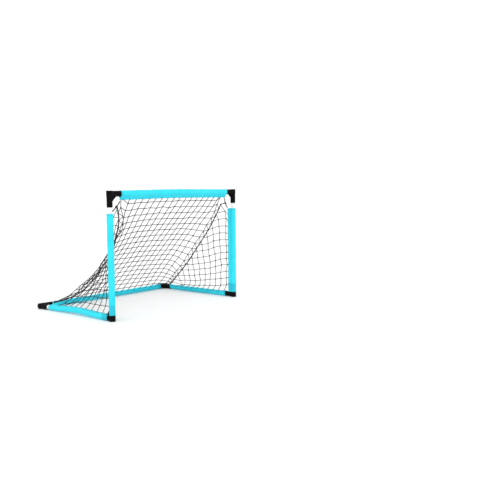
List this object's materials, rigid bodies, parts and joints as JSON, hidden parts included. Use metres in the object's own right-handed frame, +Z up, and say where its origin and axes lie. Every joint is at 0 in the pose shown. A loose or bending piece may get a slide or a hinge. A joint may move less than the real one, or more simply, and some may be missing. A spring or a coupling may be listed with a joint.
{
  "type": "street hockey goal",
  "caption": "Small free-standing hockey goal: push-fit plastic pole frame, fabric pole sleeves, and a slack knotted net with seam cords on its diagonals.",
  "frame": {"origin": "on the floor, in the middle of the goal's footprint", "axes": "+Z up, +X to the right seen from in front of the mouth, +Y from the mouth towards the back"},
  "size_m": [0.9, 0.58, 0.6],
  "materials": {
    "black_fitting": "moulded, satin",
    "white_pole": "extruded, smooth",
    "sleeve_fabric": "woven polyester, cyan",
    "net_cord": "twisted black net twine",
    "seam_cord": "braided black cord"
  },
  "bodies": {
    "ground_frame": {"base_elbow_left": "black_fitting", "base_elbow_right": "black_fitting", "rear_elbow_left": "black_fitting", "rear_elbow_right": "black_fitting", "side_bar_left": "white_pole", "side_bar_right": "white_pole", "rear_bar_half_left": "white_pole", "rear_bar_half_right": "white_pole", "rear_bar_coupler": "black_fitting", "side_sleeve_left": "sleeve_fabric", "side_sleeve_right": "sleeve_fabric", "rear_sleeve": "sleeve_fabric", "back_net": "net_cord", "side_net_left": "net_cord", "side_net_right": "net_cord", "seam_cord_left": "seam_cord", "seam_cord_right": "seam_cord"},
    "front_frame": {"post_left": "white_pole", "post_right": "white_pole", "top_elbow_left": "black_fitting", "top_elbow_right": "black_fitting", "crossbar_half_left": "white_pole", "crossbar_half_right": "white_pole", "crossbar_coupler": "black_fitting", "post_sleeve_left": "sleeve_fabric", "post_sleeve_right": "sleeve_fabric", "crossbar_sleeve": "sleeve_fabric", "corner_tie_left": "seam_cord", "corner_tie_right": "seam_cord"}
  },
  "joints": [
    {"name": "front_frame_lift", "type": "slide", "parent": "ground_frame", "child": "front_frame", "axis": [0, 0, 1], "range_m": [0, 0.04]}
  ]
}
